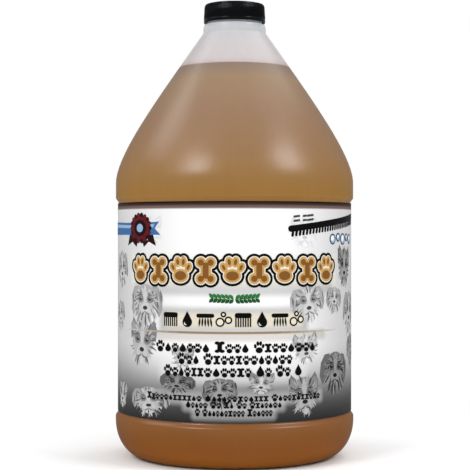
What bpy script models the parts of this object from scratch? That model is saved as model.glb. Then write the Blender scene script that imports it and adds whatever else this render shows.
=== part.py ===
"""Round gallon bottle of dog-grooming shampoo: a blow-moulded jug with a screw neck, the
shampoo inside it, a wrap-around label, and a ribbed screw cap with its foam liner.

Units are metres and +Z is up. The neck's axis is the Z axis, the bottle stands on z = 0, and
the label's front faces -Y. Every round piece has its first facet corner on +X.
"""

import math

import bmesh
import bpy

MM = 0.001

# ---- Driving dimensions ---------------------------------------------------------------------
SEGMENTS = 60                # facets around each round piece
WALL = 1.1 * MM              # blow-moulded wall
GAP = 0.3 * MM               # clearance between pieces that touch

# Body, from the base up: radius and height of each stretch
RING_INNER_R = 47.0 * MM     # the flat ring that the bottle stands on
RING_OUTER_R = 58.6 * MM
PUSH_UP = 5.0 * MM           # height of the domed middle of the base
LOWER_BULGE_R = 76.5 * MM
BASE_CORNER_H = 23.8 * MM
PANEL_R = 74.6 * MM          # recessed panel that protects the label
PANEL_BOTTOM = 29.4 * MM
PANEL_TOP = 162.2 * MM
LEDGE_H = 3.4 * MM           # height over which the wall steps in to the panel
UPPER_BULGE_R = 76.35 * MM
SHOULDER_BOTTOM = 175.0 * MM
SHOULDER_HANDLE = 17.8 * MM  # how long the shoulder stays upright
CONE_HANDLE = 50.3 * MM      # how long it stays a straight cone below the collar
CONE_SLOPE = 0.702           # radius lost for each unit of height
CONE_TOP_R = 20.4 * MM

# Neck: a 38 mm closure with six threads to the inch
COLLAR_BOTTOM = 271.2 * MM
COLLAR_TOP = 277.0 * MM
COLLAR_R = 20.1 * MM
NECK_R = 17.55 * MM
BORE_R = 15.5 * MM
LIP = 287.1 * MM
PITCH = 25.4 * MM / 6
NECK_THREAD_R = 18.6 * MM
NECK_THREAD_START = 279.9 * MM
NECK_THREAD_TURNS = 1.25

# Cap
CAP_BOTTOM = 278.2 * MM
CAP_TOP = 290.2 * MM
CAP_BEAD_R = 19.8 * MM
CAP_BEAD_H = 2.3 * MM
CAP_BORE_R = 18.85 * MM
CAP_ROOF = 1.5 * MM
CAP_CORNER = 1.0 * MM
CAP_THREAD_R = 17.85 * MM
CAP_THREAD_FIRST_TURN = 0.43
CAP_THREAD_TURNS = 1.25
RIBS = 2 * SEGMENTS
RIB_FOOT_R = 19.85 * MM
RIB_HEAD_R = 19.4 * MM
RIB_DEPTH = 0.28 * MM

# Contents, label and liner
FILL_LEVEL = 250.5 * MM
LABEL_FILM = 0.2 * MM
LINER_R = 18.5 * MM
LINER_THICKNESS = 1.0 * MM


# ---- Outlines, as lists of (radius, height) -------------------------------------------------
def elliptic_arc(centre, width, height, start, end, steps):
    """Points on an ellipse; 0 degrees points outwards and 90 degrees points up."""
    points = []
    for i in range(steps + 1):
        angle = math.radians(start + (end - start) * i / steps)
        points.append((centre[0] + width * math.cos(angle), centre[1] + height * math.sin(angle)))
    return points


def ledge(start, end, steps=3):
    """A smooth step from one radius to another, level with the wall at both ends."""
    points = []
    for i in range(steps + 1):
        t = i / steps
        ease = (1 - math.cos(math.pi * t)) / 2
        points.append((start[0] + (end[0] - start[0]) * ease, start[1] + (end[1] - start[1]) * t))
    return points


def bezier(a, b, c, d, steps):
    points = []
    for i in range(steps + 1):
        t = i / steps
        weights = ((1 - t) ** 3, 3 * t * (1 - t) ** 2, 3 * t * t * (1 - t), t**3)
        points.append(tuple(sum(w * p[k] for w, p in zip(weights, (a, b, c, d))) for k in (0, 1)))
    return points


def push_up():
    """The base's shallow dome, from its middle out to the standing ring."""
    dome_r = (RING_INNER_R**2 + PUSH_UP**2) / (2 * PUSH_UP)
    spread = math.degrees(math.asin(RING_INNER_R / dome_r))
    return elliptic_arc((0.0, PUSH_UP - dome_r), dome_r, dome_r, 90, 90 - spread, 3)


def wall_outline():
    """The bottle's outer wall, from the middle of its base to the foot of the collar."""
    corner_w = LOWER_BULGE_R - RING_OUTER_R
    cone_run = CONE_HANDLE / math.hypot(1, CONE_SLOPE)
    shoulder = bezier(
        (UPPER_BULGE_R, SHOULDER_BOTTOM),
        (UPPER_BULGE_R, SHOULDER_BOTTOM + SHOULDER_HANDLE),
        (CONE_TOP_R + CONE_SLOPE * cone_run, COLLAR_BOTTOM - cone_run),
        (CONE_TOP_R, COLLAR_BOTTOM),
        8,
    )
    return (
        push_up()
        + elliptic_arc((RING_OUTER_R, BASE_CORNER_H), corner_w, BASE_CORNER_H, -90, 0, 6)
        + ledge((LOWER_BULGE_R, PANEL_BOTTOM - LEDGE_H), (PANEL_R, PANEL_BOTTOM))
        + ledge((PANEL_R, PANEL_TOP), (UPPER_BULGE_R, PANEL_TOP + LEDGE_H))
        + shoulder
    )


def inset(outline, distance):
    """The outline moved inwards, square to itself; a point on the axis stays on it."""
    moved = []
    for i, (r, z) in enumerate(outline):
        before = outline[max(i - 1, 0)]
        after = outline[min(i + 1, len(outline) - 1)]
        run, rise = after[0] - before[0], after[1] - before[1]
        length = math.hypot(run, rise)
        inner_r = r - distance * rise / length if r > 0.001 * MM else 0.0
        moved.append((inner_r, z + distance * run / length))
    return moved


def cut_at_height(outline, height):
    """The part of a rising outline that is below a height, ending exactly on it."""
    kept = [outline[0]]
    for (r0, z0), (r1, z1) in zip(outline, outline[1:]):
        if z1 >= height and r1 > BORE_R:
            share = (height - z0) / (z1 - z0)
            return kept + [(r0 + share * (r1 - r0), height)]
        kept.append((r1, z1))
    return kept


# ---- Solids ---------------------------------------------------------------------------------
def turned(outline, closed=False):
    """A bmesh turned from an outline that runs anticlockwise, as seen with +X to the right."""
    mesh = bmesh.new()
    points = [mesh.verts.new((r, 0.0, z)) for r, z in outline]
    edges = [mesh.edges.new(pair) for pair in zip(points, points[1:])]
    if closed:
        edges.append(mesh.edges.new((points[-1], points[0])))
    bmesh.ops.spin(
        mesh,
        geom=points + edges,
        axis=(0, 0, 1),
        cent=(0, 0, 0),
        angle=math.tau,
        steps=SEGMENTS,
        use_merge=True,
    )
    bmesh.ops.remove_doubles(mesh, verts=mesh.verts, dist=0.001 * MM)
    bmesh.ops.recalc_face_normals(mesh, faces=mesh.faces)
    return mesh


def thread(root_r, crest_r, start, turns, first_turn=0.0):
    """A closed helical ridge whose ends fade into the wall that it stands on.

    The ridge is buried a little below root_r, so that a union joins it to the wall, and it
    points outwards or inwards as crest_r is more or less than root_r.
    """
    side = 1 if crest_r > root_r else -1
    buried = root_r - side * 0.4 * MM
    faded = root_r - side * 0.1 * MM
    crest_half, flank_slope = 0.5 * MM, 0.62
    fade_steps = 6
    steps = round(turns * SEGMENTS)
    mesh = bmesh.new()
    rings = []
    for i in range(steps + 1):
        fade = min(1.0, i / fade_steps, (steps - i) / fade_steps)
        top_r = faded + (crest_r - faded) * math.sin(fade * math.pi / 2)
        foot_half = crest_half + flank_slope * abs(top_r - buried)
        turn = first_turn + i / SEGMENTS
        middle = start + PITCH * turn
        around = math.tau * turn
        section = (
            (buried, -foot_half),
            (top_r, -crest_half),
            (top_r, crest_half),
            (buried, foot_half),
        )
        rings.append(
            [
                mesh.verts.new((r * math.cos(around), r * math.sin(around), middle + up))
                for r, up in section
            ]
        )
    for ring, following in zip(rings, rings[1:]):
        for k in range(4):
            after = (k + 1) % 4
            mesh.faces.new((ring[k], ring[after], following[after], following[k]))
    mesh.faces.new(rings[0])
    mesh.faces.new(rings[-1])
    bmesh.ops.recalc_face_normals(mesh, faces=mesh.faces)
    return mesh


def ribbed_band(mesh, foot, head):
    """Replaces the plain band of quads between two heights by one of fine upright ribs."""
    def is_ring(vert, height):
        return abs(vert.co.z - height) < 0.01 * MM and vert.co.xy.length > CAP_BORE_R + 0.1 * MM

    def ring(height):
        found = [v for v in mesh.verts if is_ring(v, height)]
        return sorted(found, key=lambda v: math.atan2(v.co.y, v.co.x) % math.tau)

    lower, upper = ring(foot[1]), ring(head[1])
    band = [f for f in mesh.faces if all(v in lower or v in upper for v in f.verts)]
    bmesh.ops.delete(mesh, geom=band, context="FACES")

    def rib_ring(radius, height):
        verts = []
        for i in range(2 * RIBS):
            around = math.tau * i / (2 * RIBS)
            r = radius if i % 2 else radius - RIB_DEPTH
            verts.append(mesh.verts.new((r * math.cos(around), r * math.sin(around), height)))
        return verts

    def fan(coarse, fine):
        share = len(fine) // len(coarse)
        for i, vert in enumerate(coarse):
            following = coarse[(i + 1) % len(coarse)]
            first = i * share - share // 2
            for k in range(first, first + share):
                mesh.faces.new((vert, fine[k % len(fine)], fine[(k + 1) % len(fine)]))
            mesh.faces.new((vert, following, fine[(first + share) % len(fine)]))

    rib_end = 0.4 * MM
    rib_foot = rib_ring(foot[0], foot[1] + rib_end)
    rib_head = rib_ring(head[0], head[1] - rib_end)
    fan(lower, rib_foot)
    fan(upper, rib_head)
    for i in range(2 * RIBS):
        k = (i + 1) % (2 * RIBS)
        mesh.faces.new((rib_foot[i], rib_foot[k], rib_head[k], rib_head[i]))
    bmesh.ops.recalc_face_normals(mesh, faces=mesh.faces)


def plastic(name, color, roughness, transmission=0.0):
    made = bpy.data.materials.new(name)
    made.use_nodes = True
    shader = made.node_tree.nodes["Principled BSDF"]
    shader.inputs["Base Color"].default_value = (*color, 1.0)
    shader.inputs["Roughness"].default_value = roughness
    shader.inputs["Metallic"].default_value = 0.0
    shader.inputs["Transmission Weight"].default_value = transmission
    made.diffuse_color = (*color, 1.0)
    return made


def piece(name, mesh, material, parent):
    """A named object from a bmesh that was built in place."""
    data = bpy.data.meshes.new(name)
    mesh.to_mesh(data)
    mesh.free()
    data.shade_smooth()
    data.set_sharp_from_angle(angle=math.radians(32))
    made = bpy.data.objects.new(name, data)
    bpy.context.scene.collection.objects.link(made)
    if material:
        data.materials.append(material)
    made.parent = parent
    return made


def joined_to(body, ridge):
    """Makes a ridge one solid with the body that it stands on."""
    ridge.hide_render = True
    ridge.display_type = "WIRE"
    union = body.modifiers.new("thread", "BOOLEAN")
    union.operation = "UNION"
    union.solver = "EXACT"
    union.object = ridge


# ---- Pieces ---------------------------------------------------------------------------------
def make_bottle(parent):
    """One blow-moulded wall from the base to the collar, and the solid moulded neck above it."""
    chamfer = 0.4 * MM
    outside = wall_outline() + [
        (COLLAR_R, COLLAR_BOTTOM + chamfer),
        (COLLAR_R, COLLAR_TOP - chamfer),
        (COLLAR_R - chamfer, COLLAR_TOP),
        (NECK_R, COLLAR_TOP),
        (NECK_R, LIP - chamfer),
        (NECK_R - chamfer, LIP),
    ]
    collar_inside_r = COLLAR_R - 2 * WALL
    inside = inset(wall_outline(), WALL)[:-1] + [
        (collar_inside_r, COLLAR_BOTTOM + WALL),
        (collar_inside_r, COLLAR_TOP - 2 * WALL),
        (BORE_R, COLLAR_TOP),
        (BORE_R, LIP - chamfer),
        (BORE_R + chamfer, LIP),
    ]
    bottle = piece(
        "bottle",
        turned(outside + inside[::-1]),
        plastic("natural_polyethylene", (0.82, 0.80, 0.76), 0.35, 0.4),
        parent,
    )
    ridge = thread(NECK_R, NECK_THREAD_R, NECK_THREAD_START, NECK_THREAD_TURNS)
    joined_to(bottle, piece("neck_thread", ridge, None, parent))
    return bottle


def make_shampoo(parent):
    """The liquid, which fills the bottle's inside up to its level."""
    filled = cut_at_height(inset(wall_outline(), WALL + GAP), FILL_LEVEL)
    body = turned(filled + [(0.0, FILL_LEVEL)])
    return piece("shampoo", body, plastic("amber_shampoo", (0.36, 0.16, 0.04), 0.05, 0.5), parent)


def make_label(parent):
    """A film sleeve that lies in the recessed panel."""
    inner_r = PANEL_R + GAP
    outer_r = inner_r + LABEL_FILM
    bottom, top = PANEL_BOTTOM + GAP, PANEL_TOP - GAP
    sleeve = turned([(inner_r, bottom), (outer_r, bottom), (outer_r, top), (inner_r, top)], True)
    return piece("label", sleeve, plastic("label_film", (0.86, 0.86, 0.85), 0.35), parent)


def make_cap(parent):
    """A moulded cap: bead, ribbed skirt, rounded corner and roof, threaded inside."""
    edge = 0.35 * MM
    bead_top = CAP_BOTTOM + CAP_BEAD_H
    rib_foot = (RIB_FOOT_R, bead_top)
    rib_head = (RIB_HEAD_R, CAP_TOP - CAP_CORNER)
    outside = [
        (CAP_BORE_R + edge, CAP_BOTTOM),
        (CAP_BEAD_R - edge, CAP_BOTTOM),
        (CAP_BEAD_R, CAP_BOTTOM + edge),
        (CAP_BEAD_R, bead_top - edge),
        (rib_foot[0] - RIB_DEPTH, bead_top),
    ] + elliptic_arc(
        (rib_head[0] - RIB_DEPTH - CAP_CORNER, rib_head[1]), CAP_CORNER, CAP_CORNER, 0, 90, 3
    )
    roof = CAP_TOP - CAP_ROOF
    inside = [
        (CAP_BORE_R, CAP_BOTTOM + edge),
        (CAP_BORE_R, roof),
        (0.0, roof),
    ]
    body = turned([(0.0, CAP_TOP)] + outside[::-1] + inside)
    ribbed_band(body, rib_foot, rib_head)
    cap = piece("screw_cap", body, plastic("black_polypropylene", (0.012, 0.013, 0.015), 0.3), parent)
    ridge = thread(
        CAP_BORE_R,
        CAP_THREAD_R,
        NECK_THREAD_START - PITCH / 2,
        CAP_THREAD_TURNS,
        CAP_THREAD_FIRST_TURN,
    )
    joined_to(cap, piece("cap_thread", ridge, None, parent))
    return cap


def make_liner(parent):
    """A foam disc that the cap presses onto the neck's lip."""
    bottom, top = LIP + GAP, LIP + GAP + LINER_THICKNESS
    disc = turned([(0.0, bottom), (LINER_R, bottom), (LINER_R, top), (0.0, top)])
    return piece("cap_liner", disc, plastic("white_foam", (0.88, 0.88, 0.86), 0.8), parent)


def make_empty(name, parent=None):
    """An empty on the neck's axis, which the pieces of one moving body hang from."""
    made = bpy.data.objects.new(name, None)
    bpy.context.scene.collection.objects.link(made)
    made.parent = parent
    return made


for old in list(bpy.data.objects):
    bpy.data.objects.remove(old, do_unlink=True)

standing = make_empty("bottle_body")
cap_lift = make_empty("cap_lift", standing)
cap_turn = make_empty("cap_turn", cap_lift)

make_bottle(standing)
make_shampoo(standing)
make_label(standing)
make_liner(cap_lift)
make_cap(cap_turn)
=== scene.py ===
# %% [markdown]
# # A gallon bottle of dog-grooming shampoo
#
# This lesson dresses a finished CAD bottle in Blender. The CAD model gives the sizes, the joints
# and five plain nodes: the bottle, its shampoo, the label, the screw cap and the cap's liner.
# Each is replaced by a finer piece that is turned, extruded and bevelled as by hand, stands in
# the same place, and rides on the same body.

# %% Load the frame
import math
import random

import bmesh
import bpy
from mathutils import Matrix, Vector


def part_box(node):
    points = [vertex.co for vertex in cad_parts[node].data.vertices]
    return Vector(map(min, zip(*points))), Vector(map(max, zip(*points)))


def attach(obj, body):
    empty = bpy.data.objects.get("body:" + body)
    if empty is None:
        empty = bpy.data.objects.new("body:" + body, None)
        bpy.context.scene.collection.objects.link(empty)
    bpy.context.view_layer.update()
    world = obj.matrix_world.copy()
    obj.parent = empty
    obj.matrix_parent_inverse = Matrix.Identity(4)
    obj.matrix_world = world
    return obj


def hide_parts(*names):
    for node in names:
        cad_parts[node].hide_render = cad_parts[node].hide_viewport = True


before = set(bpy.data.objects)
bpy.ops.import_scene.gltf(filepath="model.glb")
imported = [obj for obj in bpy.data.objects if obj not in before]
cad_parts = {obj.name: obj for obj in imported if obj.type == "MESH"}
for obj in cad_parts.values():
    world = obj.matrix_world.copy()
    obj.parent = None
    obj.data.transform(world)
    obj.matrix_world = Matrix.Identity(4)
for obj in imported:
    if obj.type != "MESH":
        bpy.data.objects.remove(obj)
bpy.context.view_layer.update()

# %% [markdown]
# ## Camera, lights and floor
#
# A bottle is shot from far away with a long lens, so that its sides stay straight and its rings
# are only a little curved. Here the lens is level with its middle and 0.93 m from its axis.

# %% Camera
MM = 0.001
EYE_HEIGHT = 141.7 * MM
EYE_DISTANCE = 927 * MM
ASIDE = 0.3 * MM
SENSOR = 36
LENS = 109.9

camera = bpy.data.objects.new("camera", bpy.data.cameras.new("camera"))
bpy.context.scene.collection.objects.link(camera)
camera.data.sensor_width = SENSOR
camera.data.lens = LENS
camera.location = (ASIDE, -EYE_DISTANCE, EYE_HEIGHT)
camera.rotation_euler = (math.radians(90), 0, 0)
bpy.context.scene.camera = camera
print("lens", LENS, "mm")

# %% [markdown]
# The studio is white all round. The camera sees the world at full white, and matt surfaces are
# lit by it evenly. Glossy reflections see a much darker room, as if black cloth hung beside
# the lamps, so that black plastic stays black and milky plastic keeps its colour. Two square
# softboxes above the front corners put two soft spots on the shoulder. A weaker one high on the
# left draws a faint streak down the cone, and one high behind keeps the back readable.


# %% World and softboxes
def softbox(name, direction, distance, side, power):
    """A square area light that faces the middle of the bottle."""
    light = bpy.data.lights.new(name, "AREA")
    light.shape = "SQUARE"
    light.size = side
    light.energy = power
    lamp = bpy.data.objects.new(name, light)
    bpy.context.scene.collection.objects.link(lamp)
    aim = Vector((0, 0, EYE_HEIGHT))
    lamp.location = aim + Vector(direction).normalized() * distance
    lamp.rotation_euler = (aim - lamp.location).to_track_quat("-Z", "Y").to_euler()


softbox("front_left_softbox", (-0.535, -0.615, 0.54), 2.0, 0.74, 14)
softbox("front_right_softbox", (0.674, -0.385, 0.60), 2.0, 0.74, 14)
softbox("back_left_softbox", (-0.70, 0.14, 0.70), 2.4, 0.9, 6.5)
softbox("back_right_softbox", (0.5, 0.55, 1.1), 2.4, 1.0, 10)


def mixed(tree, share, under, over):
    """Two shaders as one: the first where the share is 0, and the second where it is 1."""
    mix = tree.nodes.new("ShaderNodeMixShader")
    for output, socket in zip((share, under, over), mix.inputs):
        tree.links.new(output, socket)
    return mix.outputs[0]


ROOM_LIGHT = {"matt": 0.74, "glossy": 0.21, "camera": 1.0}
world = bpy.data.worlds.new("white_studio")
bpy.context.scene.world = world
world.use_nodes = True
tree = world.node_tree
rooms = {}
for ray, strength in ROOM_LIGHT.items():
    room = tree.nodes.new("ShaderNodeBackground")
    room.inputs["Color"].default_value = (1, 1, 1, 1)
    room.inputs["Strength"].default_value = strength
    rooms[ray] = room.outputs[0]
path = tree.nodes.new("ShaderNodeLightPath").outputs
shown = mixed(tree, path["Is Glossy Ray"], rooms["matt"], rooms["glossy"])
shown = mixed(tree, path["Is Camera Ray"], shown, rooms["camera"])
tree.links.new(shown, tree.nodes["World Output"].inputs["Surface"])
bpy.context.scene.view_settings.view_transform = "Standard"

# %% [markdown]
# Every finish here is a few nodes: some read the place on the piece, some make noise, and some
# mix colours. A small class adds and joins them, so that each finish is a short function.


# %% Helpers for finishes
def chip(red, green, blue):
    """A linear colour from a paint chip's 0 to 255 values."""
    shares = [value / 255 for value in (red, green, blue)]
    linear = [share / 12.92 if share < 0.0405 else ((share + 0.055) / 1.055) ** 2.4 for share in shares]
    return (*linear, 1.0)


class Finish:
    """A material, with short ways to add and join its nodes."""

    def __init__(self, name, **shader_values):
        self.material = bpy.data.materials.new(name)
        self.material.use_nodes = True
        self.tree = self.material.node_tree
        self.shader = self.tree.nodes["Principled BSDF"]
        self.use(**shader_values)
        self.place = self.node("TexCoord").outputs["Object"]
        self.x, self.y, self.z = self.node("SeparateXYZ", Vector=self.place).outputs

    def node(self, kind, settings=(), **inputs):
        """A new shader node, with its settings and what goes into its sockets."""
        made = self.tree.nodes.new("ShaderNode" + kind)
        for setting, value in dict(settings).items():
            setattr(made, setting, value)
        for socket, value in inputs.items():
            self.join(value, made.inputs[socket.replace("_", " ")])
        return made

    def join(self, value, socket):
        if isinstance(value, bpy.types.NodeSocket):
            self.tree.links.new(value, socket)
        else:
            socket.default_value = value

    def sum(self, operation, *values):
        made = self.node("Math", {"operation": operation})
        for value, socket in zip(values, made.inputs):
            self.join(value, socket)
        return made.outputs[0]

    def noise(self, scale, stretch=(1, 1, 1), detail=3.0):
        """Values around 0.5; a stretch under 1 draws the pattern out along that axis."""
        mapping = self.node("Mapping", Vector=self.place, Scale=stretch)
        made = self.node("TexNoise", Vector=mapping.outputs[0], Scale=scale, Detail=detail)
        return made.outputs["Fac"]

    def ramp(self, value, stops, low, high):
        """Colours at stops along a value that runs from low to high."""
        made = self.node("ValToRGB", Fac=self.range(value, low, high))
        elements = made.color_ramp.elements
        while len(elements) < len(stops):
            elements.new(1.0)
        for element, (place, color) in zip(elements, stops):
            element.position = (place - low) / (high - low)
            element.color = color
        return made.outputs[0]

    def range(self, value, low, high, to_low=0.0, to_high=1.0, kind="LINEAR"):
        """The value stretched so that low to high becomes to_low to to_high, and kept inside."""
        made = self.node("MapRange", {"interpolation_type": kind}, Value=value)
        for limit, socket in zip((low, high, to_low, to_high), list(made.inputs)[1:]):
            self.join(limit, socket)
        return made.outputs[0]

    def mix(self, share, under, over, blend="MIX"):
        made = self.node("Mix", {"data_type": "RGBA", "blend_type": blend}, Factor=share)
        self.join(under, made.inputs[6])
        self.join(over, made.inputs[7])
        return made.outputs[2]

    def vary(self, colour, share):
        """The colour, lighter or darker by a share around 1."""
        grey = self.node("CombineColor", Red=share, Green=share, Blue=share).outputs[0]
        return self.mix(1.0, colour, grey, "MULTIPLY")

    def bump(self, height, distance, strength=1.0, under=None):
        made = self.node("Bump", Height=height, Distance=distance, Strength=strength)
        if under:
            self.join(under, made.inputs["Normal"])
        return made.outputs[0]

    def use(self, **inputs):
        for socket, value in inputs.items():
            self.join(value, self.shader.inputs[socket.replace("_", " ")])
        return self.material


# %% [markdown]
# The floor is a plain pale table top that takes the bottle's soft shadow. Away from the bottle
# it fades into the white of the room, so that no horizon shows, and reflections see it as the
# same dark cloth as the rest of the room.

# %% Floor
SHADOW_REACH = (0.08, 0.30)
TABLE_TONE = (0.93, 0.93, 0.93, 1)
CLOTH_TONE = (0.2, 0.2, 0.2, 1)


def pale_floor():
    table = Finish("pale_floor", Base_Color=TABLE_TONE, Roughness=0.9, Specular_IOR_Level=0.0)
    distance = table.node("VectorMath", {"operation": "LENGTH"}, Vector=table.place)
    away = table.range(distance.outputs["Value"], *SHADOW_REACH, kind="SMOOTHSTEP")
    path = table.node("LightPath").outputs
    seen_away = table.sum("MULTIPLY", away, path["Is Camera Ray"])
    white = table.node("Emission").outputs[0]
    cloth = table.node("BsdfDiffuse", Color=CLOTH_TONE).outputs[0]
    shown = mixed(table.tree, seen_away, table.shader.outputs[0], white)
    shown = mixed(table.tree, path["Is Glossy Ray"], shown, cloth)
    table.join(shown, table.tree.nodes["Material Output"].inputs["Surface"])
    return table.material


bpy.ops.mesh.primitive_plane_add(size=30)
floor = bpy.context.object
floor.name = "floor"
floor.data.materials.append(pale_floor())
print("floor:", floor.dimensions.x, "m square")

# %% [markdown]
# ## Ways of working
#
# Almost everything on this bottle is round, so one helper does what a modeller does for a round
# piece. It starts from one vertex, extrudes it from point to point into an outline, and spins
# the outline once round the neck's axis. The doubles at the seam and on the axis are merged
# before the normals are turned outwards.

# %% Turn an outline
ROUND_STEPS = 240
DOUBLES = 0.001 * MM


def nothing_selected():
    if bpy.context.mode != "OBJECT":
        bpy.ops.object.mode_set(mode="OBJECT")
    bpy.ops.object.select_all(action="DESELECT")


def only(piece):
    """Makes one piece the selected and the active one."""
    nothing_selected()
    piece.select_set(True)
    bpy.context.view_layer.objects.active = piece


def start_edit(piece, kind="VERT"):
    only(piece)
    bpy.ops.object.mode_set(mode="EDIT")
    bpy.ops.mesh.select_mode(type=kind)
    bpy.ops.mesh.select_all(action="DESELECT")


def end_edit():
    bpy.ops.object.mode_set(mode="OBJECT")


def select_all():
    bpy.ops.mesh.select_all(action="SELECT")


def merge_and_face_out():
    select_all()
    bpy.ops.mesh.remove_doubles(threshold=DOUBLES)
    bpy.ops.mesh.normals_make_consistent(inside=False)
    end_edit()


def speck(name):
    """A new piece at the origin, one millimetre square, to be shaped."""
    nothing_selected()
    bpy.ops.mesh.primitive_plane_add(size=MM, location=(0, 0, 0))
    piece = bpy.context.object
    piece.name = name
    return piece


def turn(name, outline, closed=False):
    """A round piece from its outline, a list of (radius, height)."""
    piece = speck(name)
    start_edit(piece)
    select_all()
    bpy.ops.mesh.merge(type="CENTER")
    bpy.ops.transform.translate(value=(outline[0][0], 0, outline[0][1]))
    for (r0, z0), (r1, z1) in zip(outline, outline[1:]):
        step = {"value": (r1 - r0, 0, z1 - z0)}
        bpy.ops.mesh.extrude_vertices_move(TRANSFORM_OT_translate=step)
    if closed:
        drawn = bmesh.from_edit_mesh(piece.data)
        drawn.verts.ensure_lookup_table()
        drawn.verts[0].select = True
        bpy.ops.mesh.edge_face_add()
    select_all()
    bpy.ops.mesh.spin(steps=ROUND_STEPS, angle=math.tau, center=(0, 0, 0), axis=(0, 0, 1))
    merge_and_face_out()
    return piece


def smooth(piece, crease=40):
    """Shades a piece smooth, except over edges sharper than the crease."""
    only(piece)
    bpy.ops.object.shade_smooth_by_angle(angle=math.radians(crease))


def apply_all(piece):
    """Applies every modifier, in order."""
    only(piece)
    for modifier in list(piece.modifiers):
        bpy.ops.object.modifier_apply(modifier=modifier.name)


def finished(piece, material, body, node=None):
    """Gives a piece its finish, hands it to the frame, and reports it."""
    piece.data.materials.append(material)
    if node:
        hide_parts(node)
    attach(piece, body)
    print(f"{piece.name}: {len(piece.data.polygons)} faces on {body}")


# %% [markdown]
# Outlines are drawn as a maker's drawing gives them: arcs, smooth steps, and one Bezier curve
# for the shoulder. The wall's inner face is the outer one moved in by the wall's thickness.


# %% Outline helpers
def arc(centre, radius, start, end, steps, height=None):
    """Points on an arc, round or with a height of its own; 0 degrees points outwards, 90 up."""
    height = height or radius
    points = []
    for i in range(steps + 1):
        angle = math.radians(start + (end - start) * i / steps)
        points.append((centre[0] + radius * math.cos(angle), centre[1] + height * math.sin(angle)))
    return points


def ledge(start, end, steps=12):
    """A smooth step from one radius to another, level with the wall at both ends."""
    points = []
    for i in range(steps + 1):
        t = i / steps
        ease = (1 - math.cos(math.pi * t)) / 2
        points.append((start[0] + (end[0] - start[0]) * ease, start[1] + (end[1] - start[1]) * t))
    return points


def bezier(a, b, c, d, steps):
    points = []
    for i in range(steps + 1):
        t = i / steps
        weights = ((1 - t) ** 3, 3 * t * (1 - t) ** 2, 3 * t * t * (1 - t), t**3)
        points.append(tuple(sum(w * p[k] for w, p in zip(weights, (a, b, c, d))) for k in (0, 1)))
    return points


def inset(outline, distance):
    """The outline moved inwards, square to itself; a point on the axis stays on it."""
    moved = []
    for i, (r, z) in enumerate(outline):
        before = outline[max(i - 1, 0)]
        after = outline[min(i + 1, len(outline) - 1)]
        run, rise = after[0] - before[0], after[1] - before[1]
        length = math.hypot(run, rise)
        inner_r = r - distance * rise / length if r > DOUBLES else 0.0
        moved.append((inner_r, z + distance * run / length))
    return moved


# %% [markdown]
# ## The bottle
#
# A gallon jug is blow moulded: a soft tube of natural polyethylene is clamped in a two-part
# mould and blown out against it. The wall is about a millimetre thick and milky, because the
# plastic is not dyed. It stands on a flat ring round a domed middle. The label lies in a panel
# that is stepped back between two bulges, so that cartons don't rub it.

# %% The wall's outline
jug_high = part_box("bottle")[1]
label_low, label_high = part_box("label")
WALL = 1.1 * MM
FILM = 0.2 * MM
LABEL_GAP = 0.3 * MM
BULGE_STEP = 0.15 * MM
LOWER_BULGE_R = jug_high.x
UPPER_BULGE_R = LOWER_BULGE_R - BULGE_STEP
PANEL_R = label_high.x - FILM - LABEL_GAP
PANEL_BOTTOM = label_low.z - LABEL_GAP
PANEL_TOP = label_high.z + LABEL_GAP
LEDGE_H = 3.4 * MM
RING_INNER_R = 47.0 * MM
RING_OUTER_R = 58.6 * MM
PUSH_UP = 5.0 * MM
DOME_R = (RING_INNER_R**2 + PUSH_UP**2) / (2 * PUSH_UP)
BASE_CORNER_H = 23.8 * MM
SHOULDER_BOTTOM = 175.0 * MM
SHOULDER_STEPS = 40
COLLAR_BOTTOM = 271.2 * MM
CONE_TOP_R = 20.4 * MM
CONE_SLOPE = 0.702
SHOULDER_HANDLE, CONE_HANDLE = 17.8 * MM, 50.3 * MM


def push_up():
    """The base's shallow dome, from its middle out to the standing ring."""
    spread = math.degrees(math.asin(RING_INNER_R / DOME_R))
    return arc((0.0, PUSH_UP - DOME_R), DOME_R, 90, 90 - spread, 12)


def wall_outline():
    """The outer wall, from the middle of the base to the foot of the collar."""
    cone_run = CONE_HANDLE / math.hypot(1, CONE_SLOPE)
    shoulder = bezier(
        (UPPER_BULGE_R, SHOULDER_BOTTOM),
        (UPPER_BULGE_R, SHOULDER_BOTTOM + SHOULDER_HANDLE),
        (CONE_TOP_R + CONE_SLOPE * cone_run, COLLAR_BOTTOM - cone_run),
        (CONE_TOP_R, COLLAR_BOTTOM),
        SHOULDER_STEPS,
    )
    corner_w = LOWER_BULGE_R - RING_OUTER_R
    return (
        push_up()
        + arc((RING_OUTER_R, BASE_CORNER_H), corner_w, -90, 0, 24, BASE_CORNER_H)
        + ledge((LOWER_BULGE_R, PANEL_BOTTOM - LEDGE_H), (PANEL_R, PANEL_BOTTOM))
        + ledge((PANEL_R, PANEL_TOP), (UPPER_BULGE_R, PANEL_TOP + LEDGE_H))
        + shoulder
    )


print("outline of the wall:", len(wall_outline()), "points")

# %% [markdown]
# Above the shoulder come the collar and the neck. The neck is the one precise part of a blown
# bottle: 38 mm across its thread, with six threads to the inch, so that a standard cap fits.

# %% Turn the bottle
LIP = jug_high.z
COLLAR_TOP = 277.0 * MM
COLLAR_R = 20.1 * MM
NECK_R = 17.55 * MM
BORE_R = 15.5 * MM
EDGE = 0.4 * MM
COLLAR_CURVE = 3.4 * MM


def collar_and_neck():
    top_middle = (COLLAR_R - 2 * EDGE, COLLAR_TOP - COLLAR_CURVE)
    return (
        arc((COLLAR_R - EDGE, COLLAR_BOTTOM + 2 * EDGE), EDGE, -40, 0, 3)
        + arc(top_middle, 2 * EDGE, 0, 90, 9, COLLAR_CURVE)
        + [(NECK_R + EDGE, COLLAR_TOP), (NECK_R, COLLAR_TOP + EDGE), (NECK_R, LIP - EDGE)]
        + arc((NECK_R - EDGE, LIP - EDGE), EDGE, 30, 90, 3)
    )


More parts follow.
